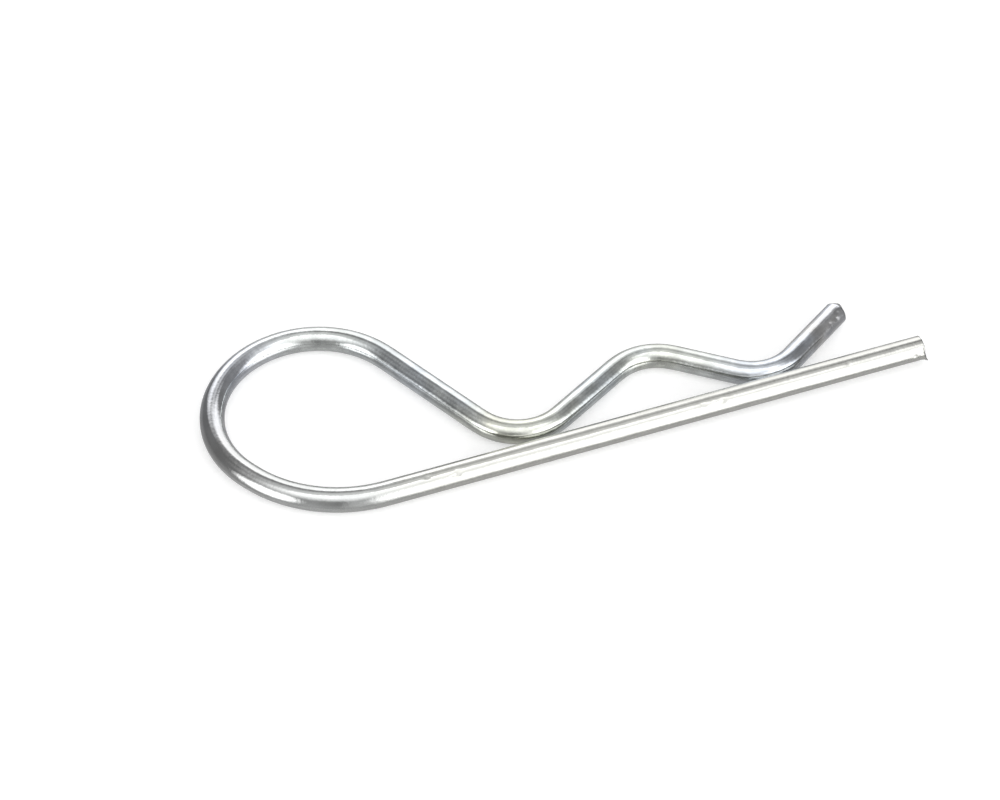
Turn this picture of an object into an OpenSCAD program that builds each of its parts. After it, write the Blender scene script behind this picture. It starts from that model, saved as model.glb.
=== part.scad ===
// Hairpin clip for a hitch pin: one length of round spring wire, bent into a
// straight leg, a round loop and a sprung arm. The leg goes through the cross
// hole of a shaft while the crown of the arm snaps over the outside of it.
//
// Frame: the clip lies flat, with +Z up. The origin is the middle of its outline,
// on the surface that it lies on. The leg points along +X, and the arm lies on
// its +Y side.
//
// The wire is drawn as it is bent: each run or bend starts at the end of the one
// before it. Every bend radius is that of the wire's centre line. Slopes of the
// arm are in degrees from the line of the leg.

/* [Wire] */
// Diameter of the round spring wire
wire_d = 2.3; // [1.8:0.1:2.8]
// Width of the broken rim round each cut end
rim_w = 0.2; // [0.05:0.05:0.4]

/* [Leg] */
// Overall length, from the back of the loop to the tip of the leg
overall_l = 66.9; // [62:0.1:80]
// Twist of the throat, which lifts the leg side out of the arm's plane
twist_angle = 0.55; // [0:0.05:1.5]
// Slant of the sheared tip, away from a square cut
slant_angle = 6; // [0:1:15]

/* [Loop] */
// Radius of the loop
loop_r = 9.45; // [8:0.05:12]
// Radius of the gentle bend that leads from the leg into the loop
entry_r = 12.9; // [10:0.1:18]
// Angle through which that gentle bend turns
entry_turn = 58; // [40:1:75]
// Length of the short straight throat between that bend and the loop
throat_l = 0.5; // [0.4:0.1:3]

/* [Inner dip] */
// Slope at which the arm comes down from the loop to the leg
fall_angle = 61.5; // [50:0.5:75]
// Radius of the dip where the arm first meets the leg
inner_dip_r = 5.2; // [3.5:0.1:8]
// Clear gap between the inner dip and the leg
inner_dip_gap = 0.45; // [0.1:0.05:2]

/* [Crown] */
// Height of the crown above the leg, between their centre lines
crown_h = 8; // [7:0.1:10]
// Radius of the crown, which wraps over the shaft
crown_r = 5.2; // [4:0.1:7]
// Slope at which the arm rises from the inner dip to the crown
rise_angle = 29; // [24:1:35]
// Slope at which it falls from the crown to the outer dip
drop_angle = 37; // [30:1:44]

/* [Tail] */
// Radius of the outer dip, which closes the clip behind the shaft
outer_dip_r = 4.9; // [3.5:0.1:6.5]
// Clear gap between the outer dip and the leg, seen from above
outer_dip_gap = 0.05; // [0.05:0.05:1]
// Slope of the flared tail, which leads the shaft in
flare_angle = 32.5; // [20:0.5:45]
// Length of the tail beyond the outer dip
tail_l = 7.6; // [4:0.1:12]

/* [Hidden] */
$fn = 96;
steel = "silver";
// A bend is a hair thinner than the runs that it laps into
bend_thinning = 0.01;
lap_turn = 0.5;

// Height that a bend uses up between a level run and a run of the given slope
function bend_drop(radius, slope) = radius * (1 - cos(slope));
// Length of a straight run of the given slope between two levels
function run_length(height, slope) = height / sin(slope);

// Levels of the centre line above the leg's own
throat_y = bend_drop(entry_r, entry_turn) + throat_l * sin(entry_turn);
loop_top_y = throat_y + loop_r * (1 + cos(entry_turn));
inner_dip_y = wire_d + inner_dip_gap;
outer_dip_y = wire_d + outer_dip_gap;

// The straight runs are as long as the bends and levels leave them
throat_x = wire_d / 2 + loop_r * (1 - sin(entry_turn));
leg_l = overall_l - throat_x - throat_l * cos(entry_turn) - entry_r * sin(entry_turn);
fall_l = run_length(
    loop_top_y - inner_dip_y - bend_drop(loop_r + inner_dip_r, fall_angle), fall_angle);
rise_l = run_length(
    crown_h - inner_dip_y - bend_drop(inner_dip_r + crown_r, rise_angle), rise_angle);
drop_l = run_length(
    crown_h - outer_dip_y - bend_drop(crown_r + outer_dip_r, drop_angle), drop_angle);

// Straight wire along +X; what follows starts at its far end
module run(length) {
    rotate([0, 90, 0]) cylinder(h = length, d = wire_d);
    translate([length, 0, 0]) children();
}

// Wire that sets out along +X and bends to the left. It laps into the runs on
// either side, inside their ends.
module bend_left(radius, turn) {
    translate([0, radius, 0])
        rotate([0, 0, -90 - lap_turn])
            rotate_extrude(angle = turn + 2 * lap_turn)
                translate([radius, 0]) circle(d = wire_d - bend_thinning);
    past_bend(radius, turn) children();
}

module bend_right(radius, turn) {
    mirror([0, 1, 0]) bend_left(radius, turn) mirror([0, 1, 0]) children();
}

// Moves its children to the end of a left bend
module past_bend(radius, turn) {
    translate([0, radius, 0]) rotate([0, 0, turn]) translate([0, -radius, 0]) children();
}

// The space just ahead of the wire's end face
module ahead() {
    reach = 2 * wire_d;
    translate([0, -reach / 2, -reach / 2]) cube(reach);
}

// Straight wire that ends in a cut, with its rim broken
module end_run(length) {
    run(length - rim_w)
        rotate([0, 90, 0]) cylinder(h = rim_w, d1 = wire_d, d2 = wire_d - 2 * rim_w);
}

module leg_side() {
    run(throat_l)
        bend_left(entry_r, entry_turn)
            difference() {
                end_run(leg_l);
                // The shear leaves the upper side of the tip the shorter
                translate([leg_l, 0, -wire_d / 2]) rotate([0, -slant_angle, 0]) ahead();
            }
}

module arm_side() {
    bend_right(loop_r, 180 - entry_turn + fall_angle)
        run(fall_l)
            bend_left(inner_dip_r, fall_angle + rise_angle)
                run(rise_l)
                    bend_right(crown_r, rise_angle + drop_angle)
                        run(drop_l)
                            bend_left(outer_dip_r, drop_angle + flare_angle)
                                end_run(tail_l);
}

// Both sides start at the end of the throat that is at the loop
module clip() {
    color(steel)
        translate([throat_x - overall_l / 2, throat_y - loop_top_y / 2, wire_d / 2])
            rotate([0, 0, -entry_turn]) {
                rotate([twist_angle, 0, 0]) leg_side();
                rotate([0, 0, 180]) arm_side();
            }
}

clip();
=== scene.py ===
"""A hairpin clip for a hitch pin: one length of zinc-plated wire on a pale floor.

All sizes that belong to the clip are in millimetres, as on a maker's drawing, and are
turned to metres where a mesh or a material is made.
"""

import logging
import math
from collections.abc import Iterable
from dataclasses import dataclass
from enum import Enum
from typing import Any

import bpy
from mathutils import Matrix, Vector


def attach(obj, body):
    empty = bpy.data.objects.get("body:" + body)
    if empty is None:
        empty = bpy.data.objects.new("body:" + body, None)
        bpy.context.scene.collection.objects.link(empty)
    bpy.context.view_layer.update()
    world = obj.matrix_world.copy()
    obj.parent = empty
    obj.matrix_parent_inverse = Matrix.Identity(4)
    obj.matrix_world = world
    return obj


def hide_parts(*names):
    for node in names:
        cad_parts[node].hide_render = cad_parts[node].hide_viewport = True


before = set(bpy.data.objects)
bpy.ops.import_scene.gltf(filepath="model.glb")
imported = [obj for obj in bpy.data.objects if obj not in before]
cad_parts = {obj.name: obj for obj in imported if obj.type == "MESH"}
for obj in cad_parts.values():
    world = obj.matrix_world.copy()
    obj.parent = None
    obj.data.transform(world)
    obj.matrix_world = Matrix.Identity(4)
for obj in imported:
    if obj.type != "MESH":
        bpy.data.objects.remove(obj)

LOG = logging.getLogger("hitch_clip")
MM = 0.001

# What the swept wire keeps on its points, for its marks and its finish
RUN_NAME = "wire_run"
SHARE_NAME = "wire_share"
SECTION_NAME = "wire_section"

Node = bpy.types.Node
NodeTree = bpy.types.NodeTree
Socket = bpy.types.NodeSocket


class Side(Enum):
    """The way that a bend turns, seen from above by one who walks along the wire."""

    LEFT = 1
    RIGHT = -1


def linear(hex_colour: str) -> tuple[float, float, float, float]:
    """Turns an sRGB hex colour into the linear colour that Blender's sockets take.

    Args:
        hex_colour: A colour such as "#C8CACC".

    Returns:
        Red, green, blue and a full alpha.
    """
    channels = [int(hex_colour[k : k + 2], 16) / 255 for k in (1, 3, 5)]
    turned = [
        c / 12.92 if c <= 0.04045 else ((c + 0.055) / 1.055) ** 2.4 for c in channels
    ]
    return turned[0], turned[1], turned[2], 1.0


def add_node(
    tree: NodeTree,
    kind: str,
    inputs: dict[str | int, Any] | None = None,
    **settings: Any,
) -> Node:
    """Adds a node with its settings, its values and its links.

    Args:
        tree: The node tree that gets the node.
        kind: The node's type name.
        inputs: For each input, by name or number, a value or the output that feeds it.
        **settings: The node's own properties.

    Returns:
        The new node.
    """
    node = tree.nodes.new(kind)
    for name, value in settings.items():
        setattr(node, name, value)
    for key, value in (inputs or {}).items():
        if isinstance(value, Socket):
            tree.links.new(value, node.inputs[key])
        else:
            node.inputs[key].default_value = value
    return node


def reckon(tree: NodeTree, operation: str, *values: Socket | float) -> Socket:
    """Adds a Math node.

    Args:
        tree: The node tree that gets the node.
        operation: What the node does.
        *values: The numbers that it works on, or the outputs that feed them.

    Returns:
        The output that holds the result.
    """
    inputs: dict[str | int, Any] = dict(enumerate(values))
    return add_node(tree, "ShaderNodeMath", inputs, operation=operation).outputs[0]


# --- The wire's course -----------------------------------------------------------


@dataclass(frozen=True)
class Run:
    """A straight stretch of the wire, in millimetres."""

    length: float

    def steps(self, spacing: float) -> list[Matrix]:
        """Lists the moves along the run, each from the start of it.

        Args:
            spacing: The rough distance between two places, in millimetres.

        Returns:
            The moves in order, the last one to the run's end.
        """
        count = max(1, round(self.length / spacing))
        return [
            Matrix.Translation((self.length * k / count, 0, 0))
            for k in range(1, count + 1)
        ]


@dataclass(frozen=True)
class Bend:
    """A bend of the wire: the radius of its centre line and its turn in degrees."""

    radius: float
    turn: float
    side: Side

    def steps(self, spacing: float) -> list[Matrix]:
        """Lists the moves along the bend, each from the start of it.

        Args:
            spacing: The rough distance between two places, in millimetres.

        Returns:
            The moves in order, the last one to the bend's end.
        """
        angle = math.radians(self.turn)
        count = max(1, round(self.radius * angle / spacing))
        centre = Vector((0, self.side.value * self.radius, 0))
        return [
            Matrix.Translation(centre)
            @ Matrix.Rotation(self.side.value * angle * k / count, 4, "Z")
            @ Matrix.Translation(-centre)
            for k in range(1, count + 1)
        ]


def walk(
    start: Matrix, stretches: Iterable[Run | Bend], spacing: float
) -> list[Matrix]:
    """Follows the wire from one place through its runs and bends.

    Args:
        start: The place and heading to set out from, heading along its own X.
        stretches: The runs and bends in order.
        spacing: The rough distance between two places, in millimetres.

    Returns:
        The places along the wire, the start among them.
    """
    places = [start]
    for stretch in stretches:
        origin = places[-1]
        places += [origin @ step for step in stretch.steps(spacing)]
    return places


def eased(points: list[Vector], reach: int) -> list[Vector]:
    """Eases each bend into its runs, as spring wire does on the bending pins.

    Args:
        points: Evenly spaced points of the centre line.
        reach: How many points on each side share in the average.

    Returns:
        The eased points, with the two ends in place.
    """
    last = len(points) - 1
    out = []
    for k in range(last + 1):
        near = min(reach, k, last - k)
        group = points[k - near : k + near + 1]
        out.append(sum(group, Vector()) / len(group))
    return out


@dataclass(frozen=True)
class Nick:
    """A small dent in the wire's skin, with its sizes in millimetres.

    The run is how far it lies from the leg's tip along the wire. The bearing is in
    degrees round the section, from the left side by way of the top.
    """

    run: float
    bearing: float
    length: float
    width: float
    depth: float


@dataclass(frozen=True)
class Lip:
    """A stretch of a cut rim that stands out, or is chipped where its reach is below 0.

    The bearing and the spread are in degrees round the section, the bearing from the
    left side by way of the top. The reach is how far it stands out lengthwise and the
    flare how far it is turned outwards, both in millimetres.
    """

    bearing: float
    spread: float
    reach: float
    flare: float = 0.0


@dataclass(frozen=True)
class CutEnd:
    """The shape of a cut end: rings from the middle of its face out to the barrel.

    Each ring is the depth back from the face in millimetres and the share of the
    wire's radius. The lips are what the shears leave on the rim.
    """

    slant: float
    rings: tuple[tuple[float, float], ...]
    lips: tuple[Lip, ...] = ()


@dataclass
class HairpinClip:
    """The clip: the sizes of its one length of wire, and the making of its mesh.

    Lengths are in millimetres and angles in degrees. The spacing is that of the rings
    along the wire, and the easing is how far a bend reaches into its runs. No ring of
    the barrel lies nearer to an end than end_clear. The shears turn a rim outwards
    over rim_depth, and what they leave on it fades out inwards at rim_share of the
    wire's radius. A nick reaches nick_span of its half lengths along the wire, and
    leaves off where less than nick_least of its depth is left.
    """

    wire_d: float = 2.3
    overall_l: float = 66.9
    twist_angle: float = 0.55
    loop_r: float = 9.45
    entry_r: float = 12.9
    entry_turn: float = 58.0
    throat_l: float = 0.5
    fall_angle: float = 61.5
    inner_dip_r: float = 5.2
    inner_dip_gap: float = 0.45
    crown_h: float = 8.0
    crown_r: float = 5.2
    rise_angle: float = 29.0
    drop_angle: float = 37.0
    outer_dip_r: float = 4.9
    outer_dip_gap: float = 0.05
    flare_angle: float = 32.5
    tail_l: float = 7.6
    spacing: float = 0.15
    easing: float = 1.4
    sides: int = 72
    end_clear: float = 0.35
    rim_depth: float = 0.2
    rim_share: float = 0.6
    nick_span: float = 3.0
    nick_least: float = 0.01
    tip: CutEnd = CutEnd(
        slant=6.0,
        rings=(
            (0.0, 0.01),
            (0.002, 0.4),
            (0.004, 0.7),
            (0.01, 0.85),
            (0.03, 0.92),
            (0.07, 0.965),
            (0.13, 0.99),
            (0.2, 1.0),
        ),
        lips=(Lip(-36.0, 13.0, 0.2, 0.2), Lip(12.0, 22.0, -0.12)),
    )
    tail: CutEnd = CutEnd(
        slant=2.0,
        rings=(
            (0.0, 0.01),
            (0.002, 0.4),
            (0.004, 0.7),
            (0.01, 0.83),
            (0.03, 0.91),
            (0.07, 0.96),
            (0.13, 0.99),
            (0.2, 1.0),
        ),
        lips=(Lip(97.0, 26.0, 0.22), Lip(140.0, 16.0, 0.05)),
    )
    nicks: tuple[Nick, ...] = (
        Nick(0.42, 40.0, 0.16, 0.2, 0.09),
        Nick(0.3, 20.0, 0.15, 0.2, 0.09),
        Nick(1.45, 36.0, 0.2, 0.13, 0.06),
        Nick(1.3, 16.0, 0.16, 0.2, 0.08),
        Nick(7.9, 68.0, 0.22, 0.2, 0.02),
        Nick(20.7, 50.0, 0.28, 0.22, 0.06),
        Nick(21.3, 47.0, 0.45, 0.13, 0.035),
        Nick(22.6, 56.0, 0.2, 0.18, 0.03),
        Nick(46.5, 54.0, 0.22, 0.28, 0.06),
        Nick(46.9, 47.0, 0.35, 0.12, 0.03),
        Nick(49.2, 72.0, 0.3, 0.2, 0.05),
        Nick(143.2, 30.0, 0.25, 0.15, 0.03),
        Nick(148.35, 129.0, 0.16, 0.15, 0.051),
        Nick(149.4, 135.0, 0.17, 0.16, 0.05),
        Nick(149.9, 116.0, 0.17, 0.17, 0.07),
        Nick(151.0, 100.0, 0.42, 0.45, 0.1),
    )

    def levels(self) -> tuple[float, float]:
        """Finds how high the loop starts and ends above the leg's centre line.

        Returns:
            The height of the throat's end at the loop, and of the loop's top.
        """
        turn = math.radians(self.entry_turn)
        throat = self.entry_r * (1 - math.cos(turn)) + self.throat_l * math.sin(turn)
        return throat, throat + self.loop_r * (1 + math.cos(turn))

    def run_between(self, height: float, radii: float, slope: float) -> Run:
        """Finds the run of one slope that two bends leave between two levels.

        Args:
            height: The difference between the levels.
            radii: The sum of the two bends' radii.
            slope: The slope of the run in degrees.

        Returns:
            The run.
        """
        angle = math.radians(slope)
        return Run((height - radii * (1 - math.cos(angle))) / math.sin(angle))

    def centre_line(self) -> list[Vector]:
        """Follows the wire's centre line from the leg's tip to the tail's end.

        Returns:
            The line's points in millimetres, with the bends eased into the runs.
        """
        throat_y, top_y = self.levels()
        turn = math.radians(self.entry_turn)
        throat_x = self.wire_d / 2 + self.loop_r * (1 - math.sin(turn))
        leg_l = (
            self.overall_l
            - throat_x
            - self.throat_l * math.cos(turn)
            - self.entry_r * math.sin(turn)
        )
        inner_y = self.wire_d + self.inner_dip_gap
        outer_y = self.wire_d + self.outer_dip_gap
        throat = Matrix.Translation(
            (throat_x - self.overall_l / 2, throat_y - top_y / 2, self.wire_d / 2)
        )
        to_leg = (
            throat
            @ Matrix.Rotation(-turn, 4, "Z")
            @ Matrix.Rotation(math.radians(self.twist_angle), 4, "X")
        )
        to_arm = throat @ Matrix.Rotation(math.pi - turn, 4, "Z")
        leg_side = [
            Run(self.throat_l),
            Bend(self.entry_r, self.entry_turn, Side.LEFT),
            Run(leg_l),
        ]
        arm_side = [
            Bend(self.loop_r, 180 - self.entry_turn + self.fall_angle, Side.RIGHT),
            self.run_between(
                top_y - inner_y, self.loop_r + self.inner_dip_r, self.fall_angle
            ),
            Bend(self.inner_dip_r, self.fall_angle + self.rise_angle, Side.LEFT),
            self.run_between(
                self.crown_h - inner_y, self.inner_dip_r + self.crown_r, self.rise_angle
            ),
            Bend(self.crown_r, self.rise_angle + self.drop_angle, Side.RIGHT),
            self.run_between(
                self.crown_h - outer_y, self.crown_r + self.outer_dip_r, self.drop_angle
            ),
            Bend(self.outer_dip_r, self.drop_angle + self.flare_angle, Side.LEFT),
            Run(self.tail_l),
        ]
        leg = walk(to_leg, leg_side, self.spacing)
        arm = walk(to_arm, arm_side, self.spacing)
        points = [place.to_translation() for place in [*reversed(leg), *arm[1:]]]
        return eased(points, round(self.easing / self.spacing / 2))

    def stations(self) -> list[tuple[Vector, float]]:
        """Places the rings of the sweep, with those of the two cut ends.

        Returns:
            Each ring's place on the centre line and its share of the wire's radius.
        """
        points = self.centre_line()
        tip_way = (points[0] - points[1]).normalized()
        tail_way = (points[-1] - points[-2]).normalized()
        tip_end, tail_end = points[0], points[-1]
        tip = [(tip_end - tip_way * back, share) for back, share in self.tip.rings]
        tail = [(tail_end - tail_way * back, share) for back, share in self.tail.rings]
        barrel = [
            (point, 1.0)
            for point in points
            if (point - tip_end).length > self.end_clear
            and (point - tail_end).length > self.end_clear
        ]
        return [*tip, *barrel, *reversed(tail)]

    def course(self) -> bpy.types.Object:
        """Lays the centre line as a curve, with each ring's share as its radius.

        Returns:
            The curve's object.
        """
        data = bpy.data.curves.new("clip_course", "CURVE")
        data.dimensions = "3D"
        spline = data.splines.new("POLY")
        stations = self.stations()
        spline.points.add(len(stations) - 1)
        for point, (place, share) in zip(spline.points, stations, strict=True):
            point.co = (*(place * MM), 1.0)
            point.radius = share
        made = bpy.data.objects.new("clip_course", data)
        bpy.context.scene.collection.objects.link(made)
        return made

    def build(self, material: bpy.types.Material) -> bpy.types.Object:
        """Sweeps the wire along its course and turns it into a plain mesh.

        Args:
            material: The finish that the tree sets on the wire.

        Returns:
            The wire's mesh object, at the origin.
        """
        course = self.course()
        tree = sweep_tree()
        modifier = course.modifiers.new("sweep", "NODES")
        modifier.node_group = tree
        values = {
            "Wire Radius": self.wire_d / 2 * MM,
            "Sides": self.sides,
            "Material": material,
        }
        for item in tree.interface.items_tree:
            if item.in_out == "INPUT" and item.name in values:
                modifier[item.identifier] = values[item.name]
        course.update_tag()
        graph = bpy.context.evaluated_depsgraph_get()
        mesh = bpy.data.meshes.new_from_object(course.evaluated_get(graph))
        mesh.name = "clip_wire"
        wire = bpy.data.objects.new("clip_wire", mesh)
        bpy.context.scene.collection.objects.link(wire)
        bpy.data.objects.remove(course)
        self.dent(mesh)
        self.shear(mesh)
        return wire

    def dent(self, mesh: bpy.types.Mesh) -> None:
        """Presses the nicks into the wire.

        Args:
            mesh: The swept wire, in metres.
        """
        runs = mesh.attributes[RUN_NAME].data
        sections = mesh.attributes[SECTION_NAME].data
        for vertex, run, section in zip(mesh.vertices, runs, sections, strict=True):
            for nick in self.nicks:
                far = (run.value / MM - nick.run) / nick.length
                if abs(far) > self.nick_span:
                    continue
                turn = math.radians(off_bearing(section, nick))
                aside = turn * self.wire_d / 2 / nick.width
                share = math.exp(-far * far - aside * aside)
                if share > self.nick_least:
                    vertex.co -= vertex.normal * nick.depth * share * MM

    def shear(self, mesh: bpy.types.Mesh) -> None:
        """Leans the two cut faces, the upper side being the shorter, and adds the lips.

        Args:
            mesh: The swept wire, in metres.
        """
        points = self.centre_line()
        radius = self.wire_d / 2
        sections = mesh.attributes[SECTION_NAME].data
        for end, back, cut in (
            (points[0], points[1], self.tip),
            (points[-1], points[-2], self.tail),
        ):
            way = (end - back).normalized()
            for vertex, section in zip(mesh.vertices, sections, strict=True):
                place = vertex.co / MM
                depth = (end - place).dot(way)
                # The rest of the wire stays, even where it passes beside the end
                if (place - end).length > 3 * radius or depth > radius:
                    continue
                lean = math.tan(math.radians(cut.slant)) * (place.z - end.z + radius)
                reach, flare = self.torn(cut, place - end, way, section)
                along = way * (reach - lean) * (1 - depth / radius)
                out = (place - end + way * depth).normalized()
                vertex.co = (place + along + out * flare) * MM

    def torn(
        self, cut: CutEnd, place: Vector, way: Vector, section: Any
    ) -> tuple[float, float]:
        """Finds how far the shears pull a point near a cut end off its place.

        Args:
            cut: The cut end.
            place: The point, from the middle of the end's face, in millimetres.
            way: The wire's heading there, out of the face.
            section: The point's value of the attribute for its place in the section.

        Returns:
            The pull lengthwise and the pull outwards, in millimetres.
        """
        aside = place.cross(way).length / (self.wire_d / 2)
        rim = max(0.0, aside - self.rim_share) / (1 - self.rim_share)
        shares = [
            rim * math.exp(-((off_bearing(section, lip) / lip.spread) ** 2))
            for lip in cut.lips
        ]
        pairs = list(zip(cut.lips, shares, strict=True))
        fade = math.exp(-((place.dot(way) / self.rim_depth) ** 2))
        reach = sum(lip.reach * share for lip, share in pairs)
        flare = sum(lip.flare * share for lip, share in pairs) * fade
        return reach, flare


def off_bearing(section: Any, mark: Lip | Nick) -> float:
    """Finds how far a point of the section lies from a mark's bearing, in degrees.

    Args:
        section: The point's value of the attribute for its place in the section.
        mark: The lip or nick.

    Returns:
        The difference, from -180 to 180.
    """
    x, y, _ = section.vector
    return (math.degrees(math.atan2(-y, -x)) - mark.bearing + 180) % 360 - 180


def sweep_tree() -> NodeTree:
    """Makes the tree that sweeps a round wire along a course.

    Each point of the wire keeps its distance from the leg's tip and its place in the
    section, both in metres, and its ring's share of the wire's radius.

    Returns:
        The tree, with inputs for the wire's radius, its sides and its material.
    """
    tree = bpy.data.node_groups.new("wire_sweep", "GeometryNodeTree")
    face = tree.interface
    face.new_socket("Geometry", in_out="INPUT", socket_type="NodeSocketGeometry")
    face.new_socket("Wire Radius", in_out="INPUT", socket_type="NodeSocketFloat")
    face.new_socket("Sides", in_out="INPUT", socket_type="NodeSocketInt")
    face.new_socket("Material", in_out="INPUT", socket_type="NodeSocketMaterial")
    face.new_socket("Geometry", in_out="OUTPUT", socket_type="NodeSocketGeometry")
    given = add_node(tree, "NodeGroupInput").outputs
    upright = add_node(
        tree,
        "GeometryNodeSetCurveNormal",
        {"Curve": given["Geometry"]},
        mode="Z_UP",
    )
    run = add_node(tree, "GeometryNodeSplineParameter")
    with_run = add_node(
        tree,
        "GeometryNodeStoreNamedAttribute",
        {
            "Geometry": upright.outputs[0],
            "Name": RUN_NAME,
            "Value": run.outputs["Length"],
        },
        data_type="FLOAT",
        domain="POINT",
    )
    share = add_node(tree, "GeometryNodeInputRadius")
    with_share = add_node(
        tree,
        "GeometryNodeStoreNamedAttribute",
        {
            "Geometry": with_run.outputs[0],
            "Name": SHARE_NAME,
            "Value": share.outputs[0],
        },
        data_type="FLOAT",
        domain="POINT",
    )
    section = add_node(
        tree,
        "GeometryNodeCurvePrimitiveCircle",
        {"Resolution": given["Sides"], "Radius": given["Wire Radius"]},
        mode="RADIUS",
    )
    place = add_node(tree, "GeometryNodeInputPosition")
    with_section = add_node(
        tree,
        "GeometryNodeStoreNamedAttribute",
        {
            "Geometry": section.outputs["Curve"],
            "Name": SECTION_NAME,
            "Value": place.outputs[0],
        },
        data_type="FLOAT_VECTOR",
        domain="POINT",
    )
    swept = add_node(
        tree,
        "GeometryNodeCurveToMesh",
        {
            "Curve": with_share.outputs[0],
            "Profile Curve": with_section.outputs[0],
            "Fill Caps": True,
        },
    )
    smooth = add_node(
        tree,
        "GeometryNodeSetShadeSmooth",
        {"Geometry": swept.outputs[0], "Shade Smooth": True},
    )
    whole = add_node(
        tree, "GeometryNodeRealizeInstances", {"Geometry": smooth.outputs[0]}
    )
    dressed = add_node(
        tree,
        "GeometryNodeSetMaterial",
        {"Geometry": whole.outputs[0], "Material": given["Material"]},
    )
    add_node(tree, "NodeGroupOutput", {"Geometry": dressed.outputs[0]})
    return tree


# --- Finishes --------------------------------------------------------------------


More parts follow.
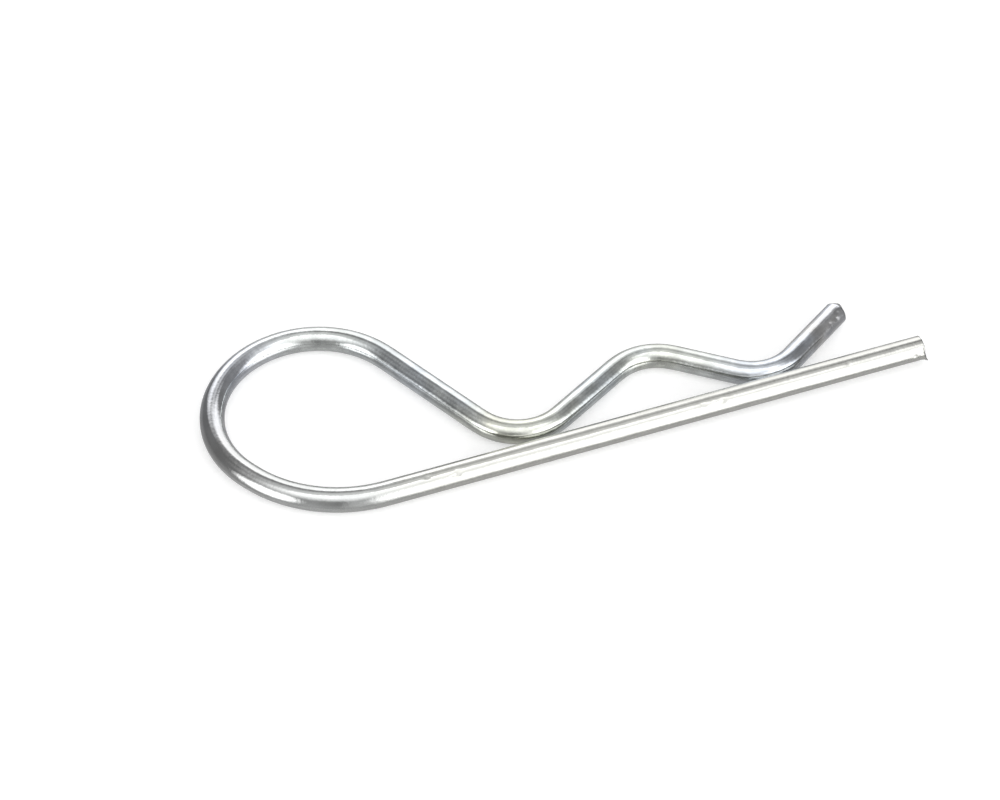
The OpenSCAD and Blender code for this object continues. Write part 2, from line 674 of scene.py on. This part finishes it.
@dataclass(frozen=True)
class ZincPlatedWire:
    """Bright zinc on drawn spring steel: a soft mirror with a thin clear film.

    The film's thickness drifts along the wire, so its tint goes from straw to blue
    and back. A pale bloom dulls it in patches, more so towards the tail. The drawing
    die leaves fine lines that run lengthwise, under the slow sway and the fine grain
    of the plating. The sheared ends are bare grey steel.

    Sizes, depths and places along the wire are in millimetres. Each size is that of a
    pattern's cell, round the wire and along it, and every other pair is a range. The
    limits tell over which part of the noise, or of the wire's radius, a pattern or
    the bare steel sets in.
    """

    tints: tuple[tuple[float, str], ...] = (
        (0, "#D3D3CF"),
        (48, "#D3D3CE"),
        (58, "#D1D3D2"),
        (70, "#D3D3D3"),
        (80, "#D0D3DA"),
        (90, "#D0D3D1"),
        (102, "#CDD2D7"),
        (112, "#D3D4C9"),
        (121, "#CDD3D7"),
        (130, "#D1D3CC"),
        (142, "#CDD2DA"),
        (146, "#D3D2D1"),
        (151, "#CFD2DA"),
    )
    length: float = 151.0
    drift_size: tuple[float, float] = (1.6, 3.5)
    drift: float = 0.08
    cut_steel: str = "#9A9A9A"
    cut_limits: tuple[float, float] = (0.94, 0.995)
    roughness: tuple[float, float] = (0.05, 0.12)
    rough_limits: tuple[float, float] = (0.3, 0.7)
    line_size: tuple[float, float] = (0.13, 9.0)
    line_depth: float = 0.004
    sway_size: tuple[float, float] = (2.25, 4.5)
    sway_depth: float = 0.06
    bloom_size: tuple[float, float] = (0.9, 1.35)
    bloom_limits: tuple[float, float] = (0.4, 0.65)
    bloom_start: tuple[float, float] = (60.0, 100.0)
    bloom_share: tuple[float, float] = (0.3, 1.0)
    bloom_pale: tuple[float, float] = (1.0, 1.26)
    bloom_rough: float = 0.08
    grain_size: tuple[float, float] = (0.3, 0.3)
    grain_depth: float = 0.009

    def unrolled(self, tree: NodeTree, size: tuple[float, float]) -> Socket:
        """Adds pattern coordinates that follow the wire without a seam.

        Args:
            tree: The material's node tree.
            size: The size of a cell round the wire and along it, in millimetres.

        Returns:
            The output that holds the coordinates.
        """
        across, along = size
        run = add_node(tree, "ShaderNodeAttribute", attribute_name=RUN_NAME)
        section = add_node(tree, "ShaderNodeAttribute", attribute_name=SECTION_NAME)
        parts = add_node(tree, "ShaderNodeSeparateXYZ", {0: section.outputs["Vector"]})
        joined = add_node(
            tree,
            "ShaderNodeCombineXYZ",
            {"X": parts.outputs["X"], "Y": parts.outputs["Y"], "Z": run.outputs["Fac"]},
        )
        return add_node(
            tree,
            "ShaderNodeVectorMath",
            {0: joined.outputs[0], 1: (1 / (across * MM),) * 2 + (1 / (along * MM),)},
            operation="MULTIPLY",
        ).outputs[0]

    def noise(
        self, tree: NodeTree, size: tuple[float, float], detail: float
    ) -> Socket:
        """Adds noise that follows the wire.

        Args:
            tree: The material's node tree.
            size: The size of a cell round the wire and along it, in millimetres.
            detail: How many finer layers the noise has.

        Returns:
            The output that holds the noise.
        """
        return add_node(
            tree,
            "ShaderNodeTexNoise",
            {"Vector": self.unrolled(tree, size), "Scale": 1.0, "Detail": detail},
        ).outputs["Fac"]

    def bloom(self, tree: NodeTree) -> Socket:
        """Adds the pale bloom, in patches that grow stronger towards the tail.

        Args:
            tree: The material's node tree.

        Returns:
            The output that holds the strength of the bloom.
        """
        run = add_node(tree, "ShaderNodeAttribute", attribute_name=RUN_NAME)
        amount = add_node(
            tree,
            "ShaderNodeMapRange",
            {
                "Value": run.outputs["Fac"],
                "From Min": self.bloom_start[0] * MM,
                "From Max": self.bloom_start[1] * MM,
                "To Min": self.bloom_share[0],
                "To Max": self.bloom_share[1],
            },
        )
        patches = add_node(
            tree,
            "ShaderNodeMapRange",
            {
                "Value": self.noise(tree, self.bloom_size, 3.0),
                "From Min": self.bloom_limits[0],
                "From Max": self.bloom_limits[1],
            },
        )
        return reckon(tree, "MULTIPLY", amount.outputs[0], patches.outputs[0])

    def tint(self, tree: NodeTree, bloom: Socket) -> Socket:
        """Adds the film's tint, which drifts along the wire, and the bare cut ends.

        Args:
            tree: The material's node tree.
            bloom: The output that holds the strength of the bloom.

        Returns:
            The output that holds the colour.
        """
        run = add_node(tree, "ShaderNodeAttribute", attribute_name=RUN_NAME)
        way = add_node(
            tree,
            "ShaderNodeMapRange",
            {"Value": run.outputs["Fac"], "From Max": self.length * MM},
        )
        noise = self.noise(tree, self.drift_size, 2.0)
        moved = reckon(tree, "MULTIPLY_ADD", noise, self.drift, way.outputs[0])
        evened = reckon(tree, "SUBTRACT", moved, self.drift / 2)
        ramp = add_node(tree, "ShaderNodeValToRGB", {"Fac": evened})
        stops = ramp.color_ramp.elements
        for _ in self.tints[2:]:
            stops.new(0.5)
        for stop, (place, colour) in zip(stops, self.tints, strict=True):
            stop.position = place / self.length
            stop.color = linear(colour)
        pale = add_node(
            tree,
            "ShaderNodeMapRange",
            {
                "Value": bloom,
                "To Min": self.bloom_pale[0],
                "To Max": self.bloom_pale[1],
            },
        )
        bloomed = add_node(
            tree,
            "ShaderNodeVectorMath",
            {0: ramp.outputs["Color"], "Scale": pale.outputs[0]},
            operation="SCALE",
        )
        share = add_node(tree, "ShaderNodeAttribute", attribute_name=SHARE_NAME)
        cut = add_node(
            tree,
            "ShaderNodeMapRange",
            {
                "Value": share.outputs["Fac"],
                "From Min": self.cut_limits[0],
                "From Max": self.cut_limits[1],
                "To Min": 1.0,
                "To Max": 0.0,
            },
        )
        # The node's two colours are its inputs 6 and 7, and their mix its output 2
        return add_node(
            tree,
            "ShaderNodeMix",
            {
                "Factor": cut.outputs[0],
                6: bloomed.outputs[0],
                7: linear(self.cut_steel),
            },
            data_type="RGBA",
        ).outputs[2]

    def relief(self, tree: NodeTree) -> Socket:
        """Adds the drawn lines, the slow sway and the fine grain of the plating.

        Args:
            tree: The material's node tree.

        Returns:
            The output that holds the normal.
        """
        below: dict[str | int, Any] = {}
        for size, detail, depth in (
            (self.sway_size, 1.0, self.sway_depth),
            (self.line_size, 2.0, self.line_depth),
            (self.grain_size, 2.0, self.grain_depth),
        ):
            height = self.noise(tree, size, detail)
            bump = add_node(
                tree,
                "ShaderNodeBump",
                {"Height": height, "Distance": depth * MM, **below},
            )
            below = {"Normal": bump.outputs[0]}
        return below["Normal"]

    def build(self) -> bpy.types.Material:
        """Makes the material.

        Returns:
            The material.
        """
        material = bpy.data.materials.new("zinc_plated_spring_wire")
        material.use_nodes = True
        tree = material.node_tree
        tree.nodes.clear()
        across, along = self.line_size
        rough = add_node(
            tree,
            "ShaderNodeMapRange",
            {
                "Value": self.noise(tree, (across * 2, along), 3.0),
                "From Min": self.rough_limits[0],
                "From Max": self.rough_limits[1],
                "To Min": self.roughness[0],
                "To Max": self.roughness[1],
            },
        )
        bloom = self.bloom(tree)
        dulled = reckon(
            tree, "MULTIPLY_ADD", bloom, self.bloom_rough, rough.outputs[0]
        )
        shader = add_node(
            tree,
            "ShaderNodeBsdfPrincipled",
            {
                "Base Color": self.tint(tree, bloom),
                "Metallic": 1.0,
                "Roughness": dulled,
                "Normal": self.relief(tree),
            },
        )
        add_node(tree, "ShaderNodeOutputMaterial", {"Surface": shader.outputs[0]})
        return material


@dataclass(frozen=True)
class OpalAcrylicSheet:
    """A pale glossy sheet for the floor, lit evenly from below.

    The eye sees it near white, with the clip's soft shadow. Bright metal sees most of
    the way through it, to the dim room under it, and only its sheen where it grazes.
    """

    colour: str = "#E2E2E2"
    gloss: float = 0.1
    glow: float = 0.45
    metal_glow: float = 0.24
    clear: float = 0.7

    def build(self) -> bpy.types.Material:
        """Makes the material.

        Returns:
            The material.
        """
        material = bpy.data.materials.new("opal_acrylic_sheet")
        material.use_nodes = True
        tree = material.node_tree
        tree.nodes.clear()
        ray = add_node(tree, "ShaderNodeLightPath").outputs
        glossy = ray["Is Glossy Ray"]
        matt = add_node(tree, "ShaderNodeBsdfDiffuse", {"Color": linear(self.colour)})
        sheen = add_node(tree, "ShaderNodeBsdfGlossy", {"Roughness": self.gloss})
        weight = add_node(tree, "ShaderNodeLayerWeight", {"Blend": 0.5})
        facing = weight.outputs["Facing"]
        grazing = reckon(tree, "MULTIPLY", facing, facing)
        share = reckon(tree, "MULTIPLY", grazing, glossy)
        face = add_node(
            tree,
            "ShaderNodeMixShader",
            {0: share, 1: matt.outputs[0], 2: sheen.outputs[0]},
        )
        mirrored = reckon(tree, "MAXIMUM", glossy, ray["Is Transmission Ray"])
        seen = reckon(
            tree, "MULTIPLY_ADD", mirrored, self.metal_glow, ray["Is Camera Ray"]
        )
        strength = reckon(tree, "MULTIPLY", seen, self.glow)
        glow = add_node(tree, "ShaderNodeEmission", {"Strength": strength})
        lit = add_node(
            tree, "ShaderNodeAddShader", {0: face.outputs[0], 1: glow.outputs[0]}
        )
        clear = reckon(tree, "MULTIPLY", glossy, self.clear)
        through = add_node(tree, "ShaderNodeBsdfTransparent")
        sheet = add_node(
            tree,
            "ShaderNodeMixShader",
            {0: clear, 1: lit.outputs[0], 2: through.outputs[0]},
        )
        add_node(tree, "ShaderNodeOutputMaterial", {"Surface": sheet.outputs[0]})
        return material


# --- Stage -----------------------------------------------------------------------


class Outline(Enum):
    """The outline of a soft panel."""

    SQUARE = "square"
    OVAL = "oval"


@dataclass(frozen=True)
class SoftPanel:
    """A soft patch of light in the studio, by the way that it lies from the object.

    All its angles are in degrees. The bearing is clockwise from the camera's own line
    of sight, and the height is above the floor. The two half sizes reach to where the
    light has faded to a half, and each fade is the width over which it goes. An oval
    fades all round as it does at its sides.
    """

    bearing: float
    height: float
    half_width: float
    half_height: float
    side_fade: float
    top_fade: float
    strength: float
    outline: Outline = Outline.SQUARE


@dataclass
class Studio:
    """The pale floor, the soft panels round the object and the camera.

    The sight is the bearing of the camera's line of sight, in degrees clockwise from
    the Y axis. The room is the light that comes from everywhere. The floor's half size
    and the camera's clipping range are in metres, and its lens, its sensor and the
    place of its eye in millimetres.
    """

    sight: float = 19.47
    room: float = 0.184
    panels: tuple[SoftPanel, ...] = (
        # Backdrop with its two lamps' pools of light
        SoftPanel(6, 18, 30, 25, 17, 14, 0.528),
        SoftPanel(5, 29, 37, 18, 9, 22, 0.48),
        SoftPanel(-22, 29, 17, 13, 6, 22, 0.68),
        SoftPanel(17, 20, 22, 22, 12, 14, 0.256),
        # Softboxes at the left and at the right, in front
        SoftPanel(-131, 5, 20, 29, 16, 20, 1.84, Outline.OVAL),
        SoftPanel(128, 11, 30, 38, 24, 22, 1.84, Outline.OVAL),
        # Ceiling, brighter towards the camera
        SoftPanel(177, 78, 80, 31, 54, 42, 1.24),
        SoftPanel(1, 90, 126, 26, 11, 27, 0.624),
        SoftPanel(6, 49, 11, 11, 10, 12, 0.4),
        # Spill on both sides of the camera
        SoftPanel(163, 11, 15, 40, 12, 38, 0.288),
        SoftPanel(-151, 13, 20, 54, 22, 55, 0.12),
        SoftPanel(150, 10, 100, 58, 50, 40, 0.08),
        # Light that comes back from under the sheet
        SoftPanel(0, -75, 180, 32, 1, 22, 0.216),
    )
    floor_half: float = 3.0
    lens: float = 95.999
    sensor: float = 36.0
    clipping: tuple[float, float] = (0.01, 20.0)
    eye: tuple[float, float, float] = (-61.5127, -159.7265, 184.38623)
    right: tuple[float, float, float] = (0.94284002, -0.33324571, 0.0)
    up: tuple[float, float, float] = (0.24692551, 0.69861741, 0.67153668)

    def world(self) -> None:
        """Makes the studio's surroundings: white to the camera, panels to the metal."""
        world = bpy.data.worlds.new("studio")
        world.use_nodes = True
        tree = world.node_tree
        tree.nodes.clear()
        way = add_node(tree, "ShaderNodeTexCoord").outputs["Generated"]
        rise = add_node(tree, "ShaderNodeSeparateXYZ", {0: way}).outputs["Z"]
        height = reckon(tree, "ARCSINE", rise)
        total: Socket | float = self.room
        for panel in self.panels:
            light = self.panel_light(tree, way, height, panel)
            total = reckon(tree, "ADD", total, light)
        ray = add_node(tree, "ShaderNodeLightPath").outputs
        seen = add_node(
            tree,
            "ShaderNodeMix",
            {"Factor": ray["Is Camera Ray"], "A": total, "B": 1.0},
            data_type="FLOAT",
        )
        sky = add_node(
            tree,
            "ShaderNodeBackground",
            {"Color": (1.0, 1.0, 1.0, 1.0), "Strength": seen.outputs[0]},
        )
        add_node(tree, "ShaderNodeOutputWorld", {"Surface": sky.outputs[0]})
        bpy.context.scene.world = world

    def panel_light(
        self, tree: NodeTree, way: Socket, height: Socket, panel: SoftPanel
    ) -> Socket:
        """Adds one panel's light to the world.

        Args:
            tree: The world's node tree.
            way: The direction that the world is seen in.
            height: The angle of that direction above the floor, in radians.
            panel: The panel.

        Returns:
            The output that holds the panel's strength in that direction.
        """
        bearing = math.radians(self.sight + panel.bearing)
        parts = [
            add_node(
                tree, "ShaderNodeVectorMath", {0: way, 1: axis}, operation="DOT_PRODUCT"
            ).outputs["Value"]
            for axis in (
                (math.cos(bearing), -math.sin(bearing), 0),
                (math.sin(bearing), math.cos(bearing), 0),
            )
        ]
        aside = reckon(tree, "ARCTAN2", parts[0], parts[1])
        above = reckon(tree, "SUBTRACT", height, math.radians(panel.height))
        across = aside
        if panel.outline is Outline.OVAL:
            across = self.oval_reach(tree, aside, above, panel)
        sides = self.fade(tree, across, panel.half_width, panel.side_fade)
        top = self.fade(tree, above, panel.half_height, panel.top_fade)
        both = reckon(tree, "MULTIPLY", sides, top)
        return reckon(tree, "MULTIPLY", both, panel.strength)

    def oval_reach(
        self, tree: NodeTree, aside: Socket, above: Socket, panel: SoftPanel
    ) -> Socket:
        """Adds the way from an oval panel's middle, as if it were round.

        Args:
            tree: The world's node tree.
            aside: The angle sideways from the panel's middle, in radians.
            above: The angle upwards from it, in radians.
            panel: The panel.

        Returns:
            The output that holds the angle, on the scale of the panel's half width.
        """
        reach = add_node(tree, "ShaderNodeCombineXYZ", {0: aside, 1: above})
        round_one = (1.0, panel.half_width / panel.half_height, 0.0)
        squeezed = add_node(
            tree,
            "ShaderNodeVectorMath",
            {0: reach.outputs[0], 1: round_one},
            operation="MULTIPLY",
        )
        return add_node(
            tree, "ShaderNodeVectorMath", {0: squeezed.outputs[0]}, operation="LENGTH"
        ).outputs["Value"]

    def fade(self, tree: NodeTree, angle: Socket, half: float, width: float) -> Socket:
        """Adds the fall of a panel's light past its edge.

        Args:
            tree: The world's node tree.
            angle: The angle from the panel's middle, in radians.
            half: The panel's half size that way, in degrees.
            width: The width over which the light fades out, in degrees.

        Returns:
            The output that holds the share of the light that is left.
        """
        return add_node(
            tree,
            "ShaderNodeMapRange",
            {
                "Value": reckon(tree, "ABSOLUTE", angle),
                "From Min": math.radians(half - width / 2),
                "From Max": math.radians(half + width / 2),
                "To Min": 1.0,
                "To Max": 0.0,
            },
            interpolation_type="SMOOTHSTEP",
        ).outputs[0]

    def floor(self) -> None:
        """Lays the floor, with its acrylic sheet."""
        half = self.floor_half
        corners = [
            (x * half, y * half, 0) for x, y in ((-1, -1), (1, -1), (1, 1), (-1, 1))
        ]
        mesh = bpy.data.meshes.new("floor")
        mesh.from_pydata(corners, [], [(0, 1, 2, 3)])
        mesh.materials.append(OpalAcrylicSheet().build())
        floor = bpy.data.objects.new("floor", mesh)
        bpy.context.scene.collection.objects.link(floor)

    def camera(self) -> None:
        """Sets the camera."""
        data = bpy.data.cameras.new("camera")
        data.lens = self.lens
        data.sensor_width = self.sensor
        data.clip_start, data.clip_end = self.clipping
        right, up = Vector(self.right), Vector(self.up)
        turn = Matrix((right, up, right.cross(up))).transposed().to_4x4()
        camera = bpy.data.objects.new("camera", data)
        camera.matrix_world = Matrix.Translation(Vector(self.eye) * MM) @ turn
        bpy.context.scene.collection.objects.link(camera)
        bpy.context.scene.camera = camera

    def build(self) -> None:
        """Builds the whole stage and sets the plain view transform."""
        self.world()
        self.floor()
        self.camera()
        bpy.context.scene.view_settings.view_transform = "Standard"


def main() -> None:
    """Builds the clip and its stage, hides the imported clip and attaches the wire to
    the root body.
    """
    logging.basicConfig(level=logging.INFO, format="%(name)s: %(message)s")
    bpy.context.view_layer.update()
    Studio().build()
    LOG.info("stage: floor, soft panels and camera")
    wire = HairpinClip().build(ZincPlatedWire().build())
    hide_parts("clip")
    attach(wire, "root")
    LOG.info("%s: %d faces", wire.name, len(wire.data.polygons))


if __name__ == "__main__":
    main()
